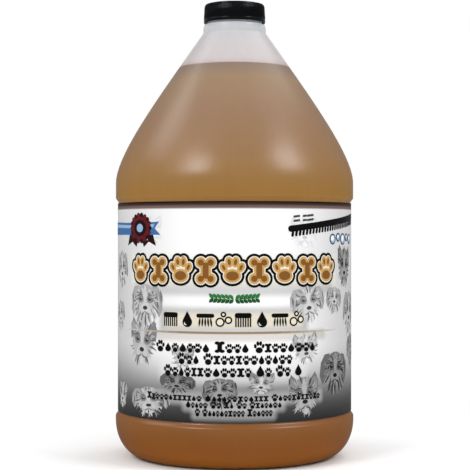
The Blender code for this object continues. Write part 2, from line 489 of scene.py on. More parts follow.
def inside_of_neck():
    """From the lip down to the shoulder, where the blown wall begins."""
    collar_inside_r = COLLAR_R - 2 * WALL
    return (
        arc((BORE_R + EDGE, LIP - EDGE), EDGE, 90, 180, 4)
        + ledge((BORE_R, COLLAR_TOP), (collar_inside_r, COLLAR_TOP - 2 * WALL), 6)
        + [(collar_inside_r, COLLAR_BOTTOM + WALL)]
    )


outer_wall = wall_outline()
inner_wall = inset(outer_wall, WALL)[:-1]
bottle = turn("bottle_shell", outer_wall + collar_and_neck() + inside_of_neck() + inner_wall[::-1])
print("bottle:", [round(1000 * side, 1) for side in bottle.dimensions], "mm")

# %% [markdown]
# The mould leaves marks. Its two halves meet in a parting line, a fine ridge up the front and
# the back. By hand, each column of edges is bevelled into a narrow strip, and the middle of the
# strip is raised. Under the base, where the mould pinched the tube shut, there is a shorter,
# higher ridge: a bar that follows the dome, welded on by a Boolean union.


# %% Parting line and pinch-off
PARTING_HALF_WIDTH = 0.4 * MM
PARTING_HEIGHT = 0.05 * MM
PINCH_OFF_MM = (1.6, 76, 1)


def weld_on(piece, addition):
    """Unites an added shape with a piece, and removes the shape."""
    union = piece.modifiers.new("weld", "BOOLEAN")
    union.operation = "UNION"
    union.solver = "EXACT"
    union.object = addition
    apply_all(piece)
    bpy.data.objects.remove(addition, do_unlink=True)


def select_parting_line(piece):
    """Selects the outer edges in the plane where the two halves of the mould meet."""
    mesh = bmesh.from_edit_mesh(piece.data)
    mesh.normal_update()
    for vert in mesh.verts:
        outer = vert.normal.y * vert.co.y > 0 and 2 * MM < vert.co.z < COLLAR_TOP
        vert.select = outer and abs(vert.co.x) < DOUBLES and vert.co.xy.length > COLLAR_R - EDGE
    mesh.select_flush(True)
    bmesh.update_edit_mesh(piece.data)


start_edit(bottle)
select_parting_line(bottle)
bpy.ops.mesh.bevel(offset=PARTING_HALF_WIDTH, segments=2, affect="EDGES")
bpy.ops.mesh.select_all(action="DESELECT")
select_parting_line(bottle)
bpy.ops.transform.shrink_fatten(value=PARTING_HEIGHT)
end_edit()

nothing_selected()
bpy.ops.mesh.primitive_cube_add(size=MM, location=(0, 0, 0), scale=PINCH_OFF_MM)
pinch_off = bpy.context.object
bpy.ops.object.transform_apply(location=True, rotation=True, scale=True)
start_edit(pinch_off, "EDGE")
bar = bmesh.from_edit_mesh(pinch_off.data)
for edge in bar.edges:
    edge.select = abs(edge.verts[0].co.y - edge.verts[1].co.y) > MM
bpy.ops.mesh.subdivide(number_cuts=15)
end_edit()
for vert in pinch_off.data.vertices:
    vert.co.z += PUSH_UP - DOME_R + math.sqrt(DOME_R**2 - vert.co.y**2)
weld_on(bottle, pinch_off)
print("bottle with its mould marks:", len(bottle.data.vertices), "points")

# %% [markdown]
# The thread is a ridge that climbs round the neck. By hand it is a small trapezium swept by a
# Screw modifier, with its two ends pushed down into the wall so that the cap can find its way
# on. A Boolean union then makes it one piece with the neck, as it is on the real bottle. The
# same helper makes the cap's inner thread.

# %% Threads
PITCH = 25.4 * MM / 6
THREAD_START = 279.9 * MM
THREAD_TURNS = 1.25
THREAD_CREST_R = 18.6 * MM
CREST_HALF = 0.5 * MM
FLANK_SLOPE = 0.62
BURIED = 0.4 * MM
FADED = 0.1 * MM
FADE_STEPS = 24


def ridge(name, wall_r, crest_r, start, first_turn=0.0):
    """A helical ridge that points outwards or inwards, as crest_r is more or less than wall_r."""
    side = math.copysign(1, crest_r - wall_r)
    buried_r, faded_r = wall_r - side * BURIED, wall_r - side * FADED
    foot_half = CREST_HALF + FLANK_SLOPE * abs(crest_r - buried_r)
    bearing, middle = math.tau * first_turn, start + PITCH * first_turn
    section = [(buried_r, -foot_half), (crest_r, -CREST_HALF)]
    section += [(buried_r, foot_half), (crest_r, CREST_HALF)]
    piece = speck(name)
    for vert, (r, up) in zip(piece.data.vertices, section):
        vert.co = (r * math.cos(bearing), r * math.sin(bearing), middle + up)
    start_edit(piece)
    select_all()
    bpy.ops.mesh.delete(type="ONLY_FACE")
    end_edit()
    screw = piece.modifiers.new("climb", "SCREW")
    screw.angle, screw.screw_offset = math.tau * THREAD_TURNS, PITCH * THREAD_TURNS
    screw.steps = screw.render_steps = round(ROUND_STEPS * THREAD_TURNS)
    screw.use_merge_vertices = screw.use_normal_calculate = False
    apply_all(piece)
    for index, vert in enumerate(piece.data.vertices):
        step, corner = divmod(index, 4)
        if corner in (1, 3):
            fade = min(1.0, step / FADE_STEPS, (ROUND_STEPS * THREAD_TURNS - step) / FADE_STEPS)
            r = faded_r + (crest_r - faded_r) * math.sin(fade * math.pi / 2)
            vert.co.xy = vert.co.xy.normalized() * r
    start_edit(piece)
    select_all()
    bpy.ops.mesh.fill_holes(sides=0)
    merge_and_face_out()
    return piece


weld_on(bottle, ridge("neck_thread", NECK_R, THREAD_CREST_R, THREAD_START))
smooth(bottle, 32)
print("bottle with its thread:", len(bottle.data.vertices), "points")

# %% [markdown]
# Natural polyethylene is milky: light goes in and spreads, so the wall takes the colour of what
# is behind it. A shader that really scattered the light would be slow and would not survive
# export. Instead the wall's colour runs with height: milky round the air at the top, then
# amber, deeper towards the base, with a little see-through left. Near the floor and on the
# ledge over the label the colour is painted lighter, as painted light against the shade that
# falls there. Fine streaks, drawn out along the tube as it was blown, and an orange peel
# break up the gloss.


# %% Wall finish
FILL_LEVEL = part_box("shampoo")[1].z
WALL_TONES_AND_PAINTED_LIGHT = [
    # painted light: the lowest stops are lighter, against the shade of the floor round the foot
    (0.0 * MM, (158, 92, 0)),
    (7.0 * MM, (150, 84, 0)),
    (14.0 * MM, (138, 76, 0)),
    (20.0 * MM, (133, 77, 6)),
    (29.0 * MM, (136, 84, 36)),
    # painted light: the ledge over the label is lighter, against the shade in its recess
    (PANEL_TOP, (158, 112, 46)),
    (PANEL_TOP + 0.7 * LEDGE_H, (158, 112, 46)),
    (PANEL_TOP + 1.1 * LEDGE_H, (150, 107, 41)),
    (168.0 * MM, (150, 107, 42)),
    (192.0 * MM, (148, 111, 74)),
    (216.0 * MM, (148, 115, 87)),
    (240.0 * MM, (152, 125, 98)),
    (FILL_LEVEL - 1.4 * MM, (136, 116, 103)),
    (FILL_LEVEL - 0.4 * MM, (211, 202, 202)),
    (268.0 * MM, (210, 206, 208)),
    (273.0 * MM, (206, 208, 213)),
    (280.0 * MM, (200, 204, 210)),
]


def natural_polyethylene():
    wall = Finish("natural_polyethylene", IOR=1.54, Specular_IOR_Level=0.56)
    colour = wall.ramp(wall.z, [(height, chip(*tone)) for height, tone in WALL_TONES_AND_PAINTED_LIGHT], 0.0, LIP)
    streaks = wall.noise(260, (1, 1, 0.04), 2.0)
    clouds = wall.noise(28, (1, 1, 0.5))
    shade = wall.range(wall.sum("ADD", streaks, clouds), 0.6, 1.4, 0.965, 1.03)
    colour = wall.vary(colour, shade)
    peel = wall.bump(wall.noise(520), 0.05 * MM, 0.5)
    drawn = wall.bump(streaks, 0.06 * MM, 0.6, peel)
    clear = wall.range(wall.z, FILL_LEVEL - 1.5 * MM, FILL_LEVEL, 0.88, 0.66, "SMOOTHSTEP")
    roughness = wall.range(clouds, 0.3, 0.7, 0.29, 0.37)
    return wall.use(Base_Color=colour, Alpha=clear, Roughness=roughness, Normal=drawn)


finished(bottle, natural_polyethylene(), "bottle", "bottle")

# %% [markdown]
# ## The shampoo
#
# The liquid fills the bottle to just under the collar. It is turned from the bottle's own inner
# outline, a little smaller, and it creeps up the wall at its rim, as a liquid does. Its finish
# is glossy and deep amber, darker towards the base.

# %% Shampoo
CREEP = 1.2 * MM
CREEP_FADE = 1.6 * MM
CREEP_REACH = 6 * MM
RIM_GAP = 0.5 * MM
LIQUID_GAP = 0.15 * MM


def shampoo_outline():
    """From the middle of the base up the wall, and over the surface back to the middle."""
    sides = [p for p in inset(wall_outline(), WALL + LIQUID_GAP) if p[1] < FILL_LEVEL + CREEP]
    rim_r = sides[-1][0] - RIM_GAP
    surface = []
    for i in range(9):
        inwards = CREEP_REACH * i / 8
        surface.append((rim_r - inwards, FILL_LEVEL + CREEP * math.exp(-inwards / CREEP_FADE)))
    return sides + surface + [(0.0, FILL_LEVEL)]


def amber_shampoo():
    liquid = Finish("amber_shampoo", Roughness=0.06, IOR=1.36, Specular_IOR_Level=0.35)
    by_height = [
        (0.0 * MM, chip(112, 60, 0)),
        (30.0 * MM, chip(135, 80, 20)),
        (170.0 * MM, chip(158, 104, 40)),
        (FILL_LEVEL, chip(170, 128, 80)),
    ]
    colour = liquid.ramp(liquid.z, by_height, 0.0, FILL_LEVEL)
    swirl = liquid.range(liquid.noise(14, (1, 1, 0.6)), 0.35, 0.65, 0.95, 1.04)
    return liquid.use(Base_Color=liquid.vary(colour, swirl))


shampoo = turn("shampoo_fill", shampoo_outline())
smooth(shampoo)
finished(shampoo, amber_shampoo(), "bottle", "shampoo")

# %% [markdown]
# ## The cap
#
# A 38 mm screw cap is moulded in black polypropylene: a plain bead at its mouth, fine upright
# ribs for grip, a rounded corner and a flat roof with the small dimple where the plastic came
# in. The ribs start as every second face of a plain skirt. Those faces are extruded outwards
# together, and the edges round each are bevelled.

# %% Cap body
CAP_THREAD_CREST_R = 17.85 * MM
CAP_THREAD_TURN = 0.43
cap_bottom, cap_top = (corner.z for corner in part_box("screw_cap"))
CAP_BEAD_R = 19.8 * MM
CAP_BEAD_H = 2.3 * MM
CAP_BORE_R = 18.85 * MM
CAP_ROOF = 1.5 * MM
CAP_CORNER = 1.0 * MM
RIB_FOOT_R = 19.85 * MM
RIB_HEAD_R = 19.4 * MM
RIB_DEPTH = 0.28 * MM
RIB_END = 0.4 * MM
BEAD_EDGE = 0.5 * MM
RIB_BEVEL = 0.1 * MM
GATE_R = 1.3 * MM
GATE_SLOPE = 0.2 * MM
GATE_DEPTH = 0.25 * MM
MOUTH_CHAMFER = 0.3 * MM
ROOF_CHAMFER = 0.4 * MM


def cap_outline():
    """From the middle of the roof, over the corner and down the skirt, and up the inside."""
    bead_top = cap_bottom + CAP_BEAD_H
    skirt_foot_r, skirt_head_r = RIB_FOOT_R - RIB_DEPTH, RIB_HEAD_R - RIB_DEPTH
    corner_middle = (skirt_head_r - CAP_CORNER, cap_top - CAP_CORNER)
    bead_middle_r = CAP_BEAD_R - BEAD_EDGE
    roof = cap_top - CAP_ROOF
    return (
        [(0.0, cap_top - GATE_DEPTH), (GATE_R, cap_top - GATE_DEPTH), (GATE_R + GATE_SLOPE, cap_top)]
        + arc(corner_middle, CAP_CORNER, 90, 0, 8)
        + [(skirt_head_r, cap_top - CAP_CORNER - RIB_END)]
        + [(skirt_foot_r, bead_top + RIB_END), (skirt_foot_r, bead_top)]
        + arc((bead_middle_r, bead_top - BEAD_EDGE), BEAD_EDGE, 60, 0, 4)
        + arc((bead_middle_r, cap_bottom + BEAD_EDGE), BEAD_EDGE, 0, -90, 5)
        + [(CAP_BORE_R + MOUTH_CHAMFER, cap_bottom), (CAP_BORE_R, cap_bottom + MOUTH_CHAMFER)]
        + [(CAP_BORE_R, roof - ROOF_CHAMFER), (CAP_BORE_R - ROOF_CHAMFER, roof), (0.0, roof)]
    )


def select_ribs(piece):
    """Selects every second face of the plain skirt between the bead and the corner."""
    mesh = bmesh.from_edit_mesh(piece.data)
    low, high = cap_bottom + CAP_BEAD_H + RIB_END, cap_top - CAP_CORNER - RIB_END
    for face in mesh.faces:
        middle = face.calc_center_median()
        on_skirt = all(low - DOUBLES < vert.co.z < high + DOUBLES for vert in face.verts)
        outer = middle.xy.length > (CAP_BORE_R + RIB_HEAD_R - RIB_DEPTH) / 2
        step = int(math.atan2(middle.y, middle.x) % math.tau / math.tau * ROUND_STEPS)
        face.select = on_skirt and outer and step % 2 == 0
    bmesh.update_edit_mesh(piece.data)


cap = turn("ribbed_cap", cap_outline())
start_edit(cap, "FACE")
select_ribs(cap)
bpy.ops.mesh.extrude_region_shrink_fatten(TRANSFORM_OT_shrink_fatten={"value": RIB_DEPTH})
print("selected rib faces:", sum(f.select for f in bmesh.from_edit_mesh(cap.data).faces))
bpy.ops.mesh.region_to_loop()
bpy.ops.mesh.bevel(offset=RIB_BEVEL, segments=2, affect="EDGES")
end_edit()
cap_thread_start = THREAD_START - PITCH / 2
weld_on(cap, ridge("cap_thread", CAP_BORE_R, CAP_THREAD_CREST_R, cap_thread_start, CAP_THREAD_TURN))
smooth(cap, 35)
print("cap:", [round(1000 * side, 2) for side in cap.dimensions], "mm")

# %% [markdown]
# Black polypropylene is dark all through, so it shows almost only its gloss. The gloss is a
# little soft and uneven from handling, and the surface has the fine sparked grain of its mould.


# %% Cap finish
def black_polypropylene():
    black = Finish("black_polypropylene", IOR=1.49, Specular_IOR_Level=0.3)
    grain = black.noise(3800, (1, 1, 1), 2.0)
    wear = black.noise(90)
    colour = black.ramp(wear, [(0.3, chip(3, 5, 7)), (0.7, chip(6, 8, 11))], 0.0, 1.0)
    roughness = black.range(wear, 0.3, 0.7, 0.11, 0.17)
    return black.use(Base_Color=colour, Roughness=roughness, Normal=black.bump(grain, 0.008 * MM, 0.5))


finished(cap, black_polypropylene(), "cap", "screw_cap")

# %% [markdown]
# Inside the roof sits the liner, a thin disc of foamed sheet that seals against the lip. It is
# hidden until the cap is off. A disc that has been screwed down keeps the lip's ring pressed
# into its face, so that groove is turned into the outline.

# %% Liner
liner_low, liner_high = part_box("cap_liner")
LINER_EDGE = 0.15 * MM
PRESSED = 0.15 * MM
PRESSED_SLOPE = 0.3 * MM
PRESSED_R = NECK_R + 0.1 * MM


def liner_outline():
    """From the middle of the pressed face outwards, and back over the top."""
    low, high, edge_r = liner_low.z, liner_high.z, liner_high.x - LINER_EDGE
    return (
        [(0.0, low), (BORE_R - PRESSED_SLOPE, low), (BORE_R, low + PRESSED)]
        + [(PRESSED_R - PRESSED_SLOPE, low + PRESSED), (PRESSED_R, low)]
        + arc((edge_r, low + LINER_EDGE), LINER_EDGE, -90, 0, 3)
        + arc((edge_r, high - LINER_EDGE), LINER_EDGE, 0, 90, 3)
        + [(0.0, high)]
    )


def white_foam():
    foam = Finish("white_foam", Roughness=0.75, Specular_IOR_Level=0.3)
    cells = foam.node("TexVoronoi", Vector=foam.place, Scale=2200.0).outputs["Distance"]
    stains = foam.noise(120)
    colour = foam.ramp(stains, [(0.35, chip(232, 230, 224)), (0.7, chip(242, 241, 238))], 0.0, 1.0)
    return foam.use(Base_Color=colour, Normal=foam.bump(cells, 0.08 * MM, 0.6))


liner = turn("sealing_disc", liner_outline())
smooth(liner, 30)
finished(liner, white_foam(), "liner", "cap_liner")

# %% [markdown]
# ## The label
#
# The label is one sheet of film, wrapped round the panel and glued over its own end at the
# back. The sleeve is a ring as thin as the film. At the back the outer faces of a narrow strip
# are extruded by one film's thickness, which makes the step of the overlap.

# %% Label film
LABEL_R = label_high.x
OVERLAP_HALF = 5 * MM

film_edge = [
    (LABEL_R - FILM, label_low.z),
    (LABEL_R, label_low.z),
    (LABEL_R, label_high.z),
    (LABEL_R - FILM, label_high.z),
]
label = turn("label_film", film_edge, closed=True)
start_edit(label, "FACE")
film = bmesh.from_edit_mesh(label.data)
for face in film.faces:
    middle = face.calc_center_median()
    at_back = middle.y > 0 and abs(middle.x) < OVERLAP_HALF
    face.select = at_back and middle.xy.length > LABEL_R - FILM / 4
bmesh.update_edit_mesh(label.data)
bpy.ops.mesh.extrude_region_shrink_fatten(TRANSFORM_OT_shrink_fatten={"value": FILM})
end_edit()
smooth(label, 30)
print("label:", [round(1000 * side, 1) for side in label.dimensions], "mm")

# %% [markdown]
# The artwork is planned flat and in millimetres, as a printer would: across is the distance
# round the label from the middle of its front, and up is the height. The film's finish carries
# the soft parts of the print. It fades from white to dark grey near the foot, with white glows
# behind the lines of print and soft shadows under the title. Its white middle at the front,
# greying round the sides, is partly print and partly painted shade where the round label turns
# from the lamps. Its dark band along the top edge is partly a printed edge and partly painted
# shadow under the ledge above it. A glow is a soft patch: full inside a rectangle, and fading
# with the distance from it.


# %% Label finish
TITLE = ((-73.5, 71.0), (111.0, 130.0))
SUBTITLE = ((-46, 45), (86.5, 96))
LINES = [
    ((-51, 53), (71.7, 77.0)),
    ((-35.5, 36), (64.7, 70.0)),
    ((-45, 43), (57.3, 62.6)),
    ((-59, 57), (42.6, 45.9)),
    ((-30, 29), (38.6, 41.9)),
    ((-24, 23), (33.8, 37.4)),
]
PRINT_LIGHT = 0.80


def ink(red, green, blue):
    """An ink's colour, a little darker than its chip, because the label faces the lamps."""
    return (*(PRINT_LIGHT * value for value in chip(red, green, blue)[:3]), 1.0)


def grey(tone):
    return ink(tone, tone, tone)


FADE = [(30, 45), (35, 61), (40, 80), (45, 105), (55, 154), (65, 191), (75, 209), (110, 209), (162, 217)]
# the top edge's band: partly a printed dark edge, partly painted shadow under the bulge's ledge
TOP_EDGE_PRINT_AND_SHADOW = [
    (156.9, (255, 255, 255)),
    (157.4, (214, 207, 205)),
    (157.9, (150, 136, 133)),
    (158.4, (106, 88, 86)),
    (159.0, (120, 98, 95)),
    (159.6, (92, 72, 68)),
    (160.1, (64, 47, 42)),
    (161.0, (56, 38, 29)),
    (161.3, (26, 9, 4)),
]

# %% [markdown]
# The patches are a list, from the lowest to the topmost. Each has its sides, its heights, how
# far it fades, how strong it is, and its ink. First come the glows behind the lines of print and
# the pages at the back, then the title's shadow and glow, the halo and cream behind the row of
# pictures, and the rule's shadow.

# %% Soft patches
PAGE_MIDDLES, PAGE_HALF = (-175, 175), 52
title_left, title_right = TITLE[0]
PATCHES = [(*line, 7, 0.35, grey(250)) for line in LINES[:3]]
PATCHES += [(*line, 4.5, 0.45, grey(215)) for line in LINES[3:]]
PATCHES += [((at - PAGE_HALF, at + PAGE_HALF), (60, 143), 9, 0.7, grey(244)) for at in PAGE_MIDDLES]
PATCHES += [
    ((title_left + 4, title_right - 4), (108, 112), 5, 0.5, grey(150)),
    (TITLE[0], (113, 128), 4, 0.5, ink(238, 236, 214)),
    (*SUBTITLE, 5, 0.55, grey(140)),
    ((-42, 41), (89, 93), 4.5, 0.8, ink(240, 230, 206)),
    ((-66, 60), (80.4, 82.6), 4, 0.35, ink(150, 130, 105)),
]


def patch(film, across, up, sides, heights, soft):
    """1 inside a rectangle of the label, fading to 0 at the soft distance outside it."""
    beyond = []
    for place, (low, high) in ((across, sides), (up, heights)):
        from_middle = film.sum("ABSOLUTE", film.sum("SUBTRACT", place, (low + high) / 2))
        outside = film.sum("MAXIMUM", film.sum("SUBTRACT", from_middle, (high - low) / 2), 0.0)
        beyond.append(film.sum("MULTIPLY", outside, outside))
    distance = film.sum("SQRT", film.sum("ADD", *beyond))
    return film.range(distance, 0.0, soft, 1.0, 0.0, "SMOOTHSTEP")


def label_film():
    film = Finish("label_film", IOR=1.5, Specular_IOR_Level=0.14)
    bearing = film.sum("ARCTAN2", film.x, film.sum("MULTIPLY", film.y, -1.0))
    across = film.sum("MULTIPLY", bearing, LABEL_R / MM)
    up = film.sum("DIVIDE", film.z, MM)
    colour = film.ramp(up, [(height, grey(tone)) for height, tone in FADE], 29, 162)
    # partly print, partly painted shade: white in the middle of the front, greying round the sides
    white = patch(film, across, up, (-22, 22), (70, 170), 66)
    upper = film.range(up, 44, 76, kind="SMOOTHSTEP")
    colour = film.mix(film.sum("MULTIPLY", white, upper), colour, grey(255))
    for sides, heights, soft, strength, tone in PATCHES:
        glow = patch(film, across, up, sides, heights, soft)
        colour = film.mix(film.sum("MULTIPLY", glow, strength), colour, tone)
    # the top band: partly a printed dark edge, partly painted shadow under the ledge
    banded = film.range(up, 156.9, 157.6)
    band = film.ramp(up, [(height, ink(*tone)) for height, tone in TOP_EDGE_PRINT_AND_SHADOW], 156, 162)
    colour = film.mix(banded, colour, band)
    fibre = film.noise(1400, (1, 1, 1), 4.0)
    waves = film.noise(34, (1, 1, 0.5), 2.0)
    texture = film.bump(waves, 0.10 * MM, 0.35, film.bump(fibre, 0.01 * MM, 0.4))
    gloss = film.range(fibre, 0.3, 0.7, 0.34, 0.44)
    return film.use(Base_Color=colour, Roughness=gloss, Normal=texture)


finished(label, label_film(), "bottle", "label")

# %% [markdown]
# ## The print
#
# A printer lays ink in layers, and a later layer covers an earlier one. Here each motif is a
# flat outline with a colour, drawn on a plane that stands for the unrolled label. All outlines
# of one subject are drawn into one mesh at heights a few hundredths of a millimetre apart. The
# mesh is cut into narrow columns, gets its thickness, and is rolled round the bottle, so that
# every edge of the print stays sharp from close by.

# %% Ink helpers
INK_STEP = 0.025 * MM
LIFTS = 16
LIFT_SPAN = 0.9
INK_DEPTH = 0.18 * MM
COLUMN = 3.0 * MM


def placed(points, across, up, lean=0.0):
    """The points turned by an angle in degrees, and moved to their place on the label."""
    cosine, sine = math.cos(math.radians(lean)), math.sin(math.radians(lean))
    return [(across + a * cosine - b * sine, up + a * sine + b * cosine) for a, b in points]


def oval(across, up, width, height, lean=0.0, points=20):
    angles = [math.tau * i / points for i in range(points)]
    ellipse = [(width / 2 * math.cos(angle), height / 2 * math.sin(angle)) for angle in angles]
    return placed(ellipse, across, up, lean)


def block(across, up, width, height, corner, lean=0.0):
    """A rectangle with round corners."""
    outline = []
    for k, (side_a, side_b) in enumerate(((1, 1), (-1, 1), (-1, -1), (1, -1))):
        for i in range(4):
            angle = math.pi / 2 * (k + i / 3)
            a = side_a * (width / 2 - corner) + corner * math.cos(angle)
            b = side_b * (height / 2 - corner) + corner * math.sin(angle)
            outline.append((a, b))
    return placed(outline, across, up, lean)


def stroke(start, end, width, bow=0.0):
    """A pencil stroke: pointed at both ends, widest in the middle, and bowed to one side."""
    run, rise = end[0] - start[0], end[1] - start[1]
    length = math.hypot(run, rise)
    there, back = [], []
    for i in range(1, 4):
        t = i / 4
        for offset, line in ((bow - width / 2, there), (bow + width / 2, back)):
            aside = offset * math.sin(math.pi * t) / length
            line.append((start[0] + run * t - rise * aside, start[1] + rise * t + run * aside))
    return [start] + there + [end] + back[::-1]


class Artwork:
    """Flat inked outlines of one subject, which become one rolled mesh."""

    def __init__(self, name, over=4):
        """Over is the number of ink layers that lie under this subject."""
        self.name = name
        self.over = over
        self.mesh = bmesh.new()
        self.ink = self.mesh.loops.layers.float_color.new("ink")

    def draw(self, outline, colour, layer=0):
        """A later outline in a layer lies a hair above an earlier one, so that none flicker."""
        share = len(self.mesh.faces) % LIFTS / LIFTS
        lift = INK_STEP * (1 + self.over + layer + LIFT_SPAN * share)
        points = [(across * MM, up * MM, lift) for across, up in outline]
        face = self.mesh.faces.new([self.mesh.verts.new(point) for point in points])
        face.normal_update()
        if face.normal.z < 0:
            face.normal_flip()
        for loop in face.loops:
            loop[self.ink] = colour

    def roll(self):
        """Cuts the print into columns, thickens it and rolls it round the label."""
        data = bpy.data.meshes.new(self.name)
        self.mesh.to_mesh(data)
        self.mesh.free()
        piece = bpy.data.objects.new(self.name, data)
        bpy.context.scene.collection.objects.link(piece)
        left = min(v.co.x for v in data.vertices)
        right = max(v.co.x for v in data.vertices)
        start_edit(piece)
        for i in range(math.floor(left / COLUMN) + 1, math.ceil(right / COLUMN)):
            select_all()
            bpy.ops.mesh.bisect(plane_co=(i * COLUMN, 0, 0), plane_no=(1, 0, 0))
        end_edit()
        thickness = piece.modifiers.new("thickness", "SOLIDIFY")
        thickness.thickness, thickness.offset = INK_DEPTH, -1
        apply_all(piece)
        for vert in data.vertices:
            across, up, lift = vert.co
            r = LABEL_R + lift
            vert.co = (r * math.sin(across / LABEL_R), -r * math.cos(across / LABEL_R), up)
        finished(piece, printed_ink(), "bottle")


def printed_ink():
    """One finish for all inks: the colour is drawn with the print, and its density varies."""
    if "printed_ink" in bpy.data.materials:
        return bpy.data.materials["printed_ink"]
    made = Finish("printed_ink", IOR=1.5, Specular_IOR_Level=0.14)
    drawn = made.node("Attribute", {"attribute_name": "ink"}).outputs["Color"]
    grain = made.noise(1600, (1, 1, 1), 3.0)
    density = made.range(grain, 0.3, 0.7, 0.95, 1.05)
    gloss = made.range(grain, 0.3, 0.7, 0.32, 0.42)
    return made.use(Base_Color=made.vary(drawn, density), Roughness=gloss)


# %% [markdown]
# The name that a real label carries is left out. Its place and weight are kept by a row of
# gold paws and bones with a white inner line, a black outline and a darker heart. Each shape is
# built from ovals and round-cornered blocks, so an outline is the same shape drawn a little
# larger underneath.

# %% Title motifs
BLACK = ink(10, 9, 8)
PAW_PADS = [(0.0, -3.6, 11.0, 8.6, 0), (-6.0, 2.2, 4.2, 6.4, 24), (-2.2, 5.9, 4.4, 6.6, 8)]
PAW_PADS += [(2.2, 5.9, 4.4, 6.6, -8), (6.0, 2.2, 4.2, 6.4, -24)]
WEB_FROM = 0.6  # an outline grown by more than this fills the gaps between the pads
THINNEST = 0.4
BONE_KNOBS = [(-3.5, 5.6), (3.5, 5.6), (-3.5, -5.6), (3.5, -5.6)]


def paw(art, across, up, grown, colour, layer, size=1.0):
    if grown > WEB_FROM:
        art.draw(oval(across, up + 1.2 * size, 9.6 * size, 8 * size), colour, layer)
    for a, b, width, height, lean in PAW_PADS:
        width, height = size * width + 2 * grown, size * height + 2 * grown
        if min(width, height) > THINNEST:
            art.draw(oval(across + size * a, up + size * b, width, height, lean), colour, layer)


def bone(art, across, up, grown, colour, layer, size=1.0):
    shaft = size * 6.4 + 2 * grown
    art.draw(block(across, up, shaft, size * 11, shaft / 4), colour, layer)
    knob = size * 6.6 + 2 * grown
    for a, b in BONE_KNOBS:
        art.draw(oval(across + size * a, up + size * b, knob, knob), colour, layer)


title = Artwork("title_motifs")
title_middle = sum(TITLE[1]) / 2
COATS = [(2.5, BLACK), (1.0, ink(240, 236, 226)), (0.4, ink(204, 160, 92)), (-0.95, ink(134, 88, 36))]
MOTIFS = 9
MOTIF_SIZE = 0.86
for coat, (grown, colour) in enumerate(COATS):
    for i in range(MOTIFS):
        motif = bone if i % 2 else paw
        across = title_left + (title_right - title_left) * (i + 0.5) / MOTIFS
        motif(title, across, title_middle, grown, colour, coat, MOTIF_SIZE)
title.roll()

# %% [markdown]
# Words are left out everywhere else too. A line of print becomes a row of tiny paws, bones and
# drops, grouped as words are, with a taller mark at the head of each group. Their kinds and
# widths come from one seeded generator, so the label is the same every time.

# %% Lines of print
chance = random.Random(38)
PAW_SIZE = (15.5, 16)


def tiny_paw(art, across, up, width, height):
    for a, b, pad_width, pad_height, lean in PAW_PADS:
        share_w, share_h = width / PAW_SIZE[0], height / PAW_SIZE[1]
        place = (across + a * share_w, up + (b - 1) * share_h)
        art.draw(oval(*place, pad_width * share_w, pad_height * share_h, lean / 2, 12), BLACK)


def tiny_bone(art, across, up, width, height):
    art.draw(block(across, up, 0.46 * width, 0.7 * height, 0.1 * width), BLACK)
    for side in (-1, 1):
        for end in (-1, 1):
            knob = (across + side * 0.24 * width, up + end * 0.36 * height)
            art.draw(oval(*knob, 0.52 * width, 0.3 * height, 0.0, 12), BLACK)


def tiny_drop(art, across, up, width, height):
    art.draw(oval(across, up - 0.17 * height, 0.86 * width, 0.66 * height, 0.0, 14), BLACK)
    shoulders = [(across - 0.36 * width, up), (across + 0.36 * width, up)]
    art.draw([*shoulders, (across, up + 0.5 * height)], BLACK)


MARKS = (tiny_paw, tiny_paw, tiny_bone, tiny_drop)
GAP, SPACE = 0.06, 0.62
FIRST_WIDTH, FIRST_HEIGHT = 1.25, 1.27


def line_of_print(art, sides, heights, groups):
    """Groups of marks that fill a line; the groups' numbers say how many marks each has."""
    low, high = heights
    left, right = sides
    weights = [[FIRST_WIDTH] + [chance.uniform(0.8, 1.12) for _ in range(n - 1)] for n in groups]
    total = sum(sum(group) + GAP * (len(group) - 1) for group in weights) + SPACE * (len(groups) - 1)
    unit = (right - left) / total
    across = left
    for group in weights:
        for k, weight in enumerate(group):
            width, height = weight * unit, (high - low) * (FIRST_HEIGHT if k == 0 else 1.0)
            middle = (across + width / 2, low + height / 2)
            chance.choice(MARKS)(art, *middle, width, height)
            across += width + GAP * unit
        across += (SPACE - GAP) * unit


print_lines = Artwork("lines_of_print")
WORDS = [(7, 4, 8), (3, 12), (12, 2, 2, 1), (12, 12, 11), (5, 2, 2, 2, 7), (1, 10, 6)]
for (sides, heights), groups in zip(LINES, WORDS):
    line_of_print(print_lines, sides, heights, groups)
print_lines.roll()

# %% [markdown]
# Under the title stands a green sprig of leaves for the plant-based recipe. Below it is a row
# of black pictures of grooming: combs, drops, brushes and bubbles over a thin tan rule that
# fades out at its ends.

# %% Sprig, grooming row and rule
sprig = Artwork("leaf_sprig")
GREEN, DARK_GREEN = ink(46, 122, 58), ink(24, 88, 40)
LEAVES = 6
for side in (-1, 1):
    sprig.draw(stroke((0, 103.2), (side * 15, 104.2), 0.7, 0.4), DARK_GREEN)
    for k in range(LEAVES):
        root = (side * (0.5 + 2.4 * k), 103.3 + 0.12 * k)
        for lift in (3.1, -2.3):
            tip = (root[0] + side * 2.8, root[1] + lift)
            sprig.draw(stroke(root, tip, 2.2), GREEN if lift > 0 else DARK_GREEN)
sprig.roll()


CREAM = ink(238, 230, 208)


def comb(art, across, up):
    art.draw(block(across, up + 2.6, 10, 3.0, 1.2), BLACK)
    for k in range(7):
        art.draw(block(across + (k - 3) * 1.45, up - 1.2, 0.8, 6.2, 0.35), BLACK)


def drop(art, across, up):
    art.draw(oval(across, up - 1.5, 6.2, 6.2), BLACK)
    art.draw([(across - 2.7, up), (across + 2.7, up), (across, up + 5.0)], BLACK)
    shine = stroke((across - 1.9, up - 1.4), (across - 0.2, up - 3.4), 0.8, -0.7)
    art.draw(shine, grey(235), 1)


